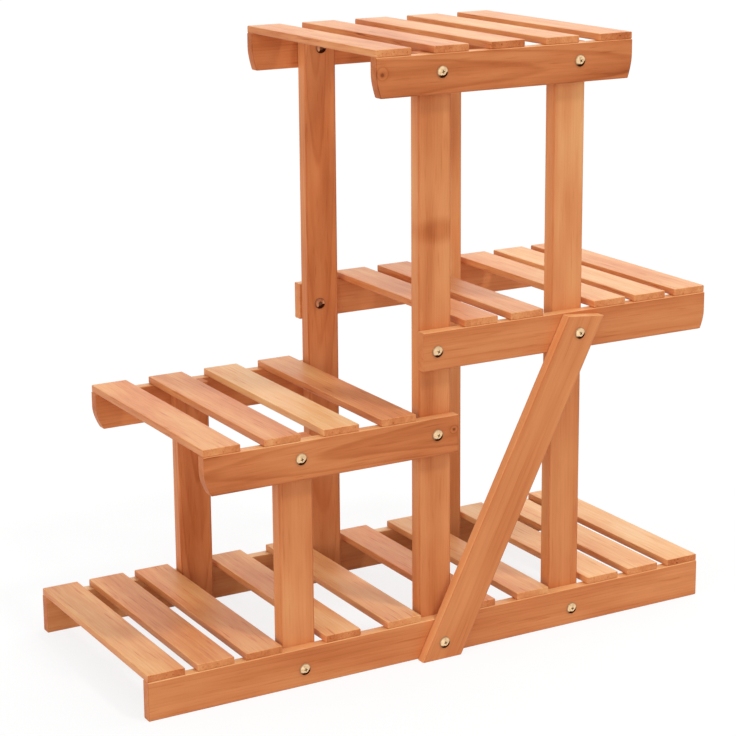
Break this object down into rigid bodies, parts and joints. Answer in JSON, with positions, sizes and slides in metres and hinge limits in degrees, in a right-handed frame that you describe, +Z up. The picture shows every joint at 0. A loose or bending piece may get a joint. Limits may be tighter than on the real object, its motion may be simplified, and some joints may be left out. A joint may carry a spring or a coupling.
{
  "type": "tiered plant stand",
  "caption": "Free-standing wooden plant stand with slatted shelves at stepped heights on bolted flat posts, stiffened by a slanting brace.",
  "frame": {"origin": "on the floor, in the middle of the stand's length and depth", "axes": "+X along the stand from its low end to its high end, +Y from the front, which has the brace, to the back, +Z up"},
  "size_m": [0.664, 0.2936, 0.632],
  "materials": {
    "rail_wood": "orange-brown stained softwood, satin varnish",
    "post_wood": "orange-brown stained softwood, satin varnish",
    "slat_wood": "orange-brown stained softwood, satin varnish",
    "brace_wood": "orange-brown stained softwood, satin varnish",
    "bolt_brass": "pale yellow plated steel, satin"
  },
  "bodies": {
    "root": {"rail_base_front": "rail_wood", "rail_base_back": "rail_wood", "rail_left_front": "rail_wood", "rail_left_back": "rail_wood", "rail_right_front": "rail_wood", "rail_right_back": "rail_wood", "rail_top_front": "rail_wood", "rail_top_back": "rail_wood", "post_1_front": "post_wood", "post_1_back": "post_wood", "post_2_front": "post_wood", "post_2_back": "post_wood", "post_3_front": "post_wood", "post_3_back": "post_wood", "brace": "brace_wood", "slat_base_1": "slat_wood", "slat_base_2": "slat_wood", "slat_base_3": "slat_wood", "slat_base_4": "slat_wood", "slat_base_5": "slat_wood", "slat_base_6": "slat_wood", "slat_base_7": "slat_wood", "slat_base_8": "slat_wood", "slat_base_9": "slat_wood", "slat_base_10": "slat_wood", "slat_left_1": "slat_wood", "slat_left_2": "slat_wood", "slat_left_3": "slat_wood", "slat_left_4": "slat_wood", "slat_right_1": "slat_wood", "slat_right_2": "slat_wood", "slat_right_3": "slat_wood", "slat_right_4": "slat_wood", "slat_right_5": "slat_wood", "slat_top_1": "slat_wood", "slat_top_2": "slat_wood", "slat_top_3": "slat_wood", "slat_top_4": "slat_wood", "slat_top_5": "slat_wood", "bolt_base_1_front": "bolt_brass", "bolt_base_1_back": "bolt_brass", "bolt_base_2_front": "bolt_brass", "bolt_base_2_back": "bolt_brass", "bolt_base_3_front": "bolt_brass", "bolt_base_3_back": "bolt_brass", "bolt_left_1_front": "bolt_brass", "bolt_left_1_back": "bolt_brass", "bolt_left_2_front": "bolt_brass", "bolt_left_2_back": "bolt_brass", "bolt_right_1_front": "bolt_brass", "bolt_right_1_back": "bolt_brass", "bolt_right_2_front": "bolt_brass", "bolt_right_2_back": "bolt_brass", "bolt_top_1_front": "bolt_brass", "bolt_top_1_back": "bolt_brass", "bolt_top_2_front": "bolt_brass", "bolt_top_2_back": "bolt_brass"}
  },
  "joints": []
}
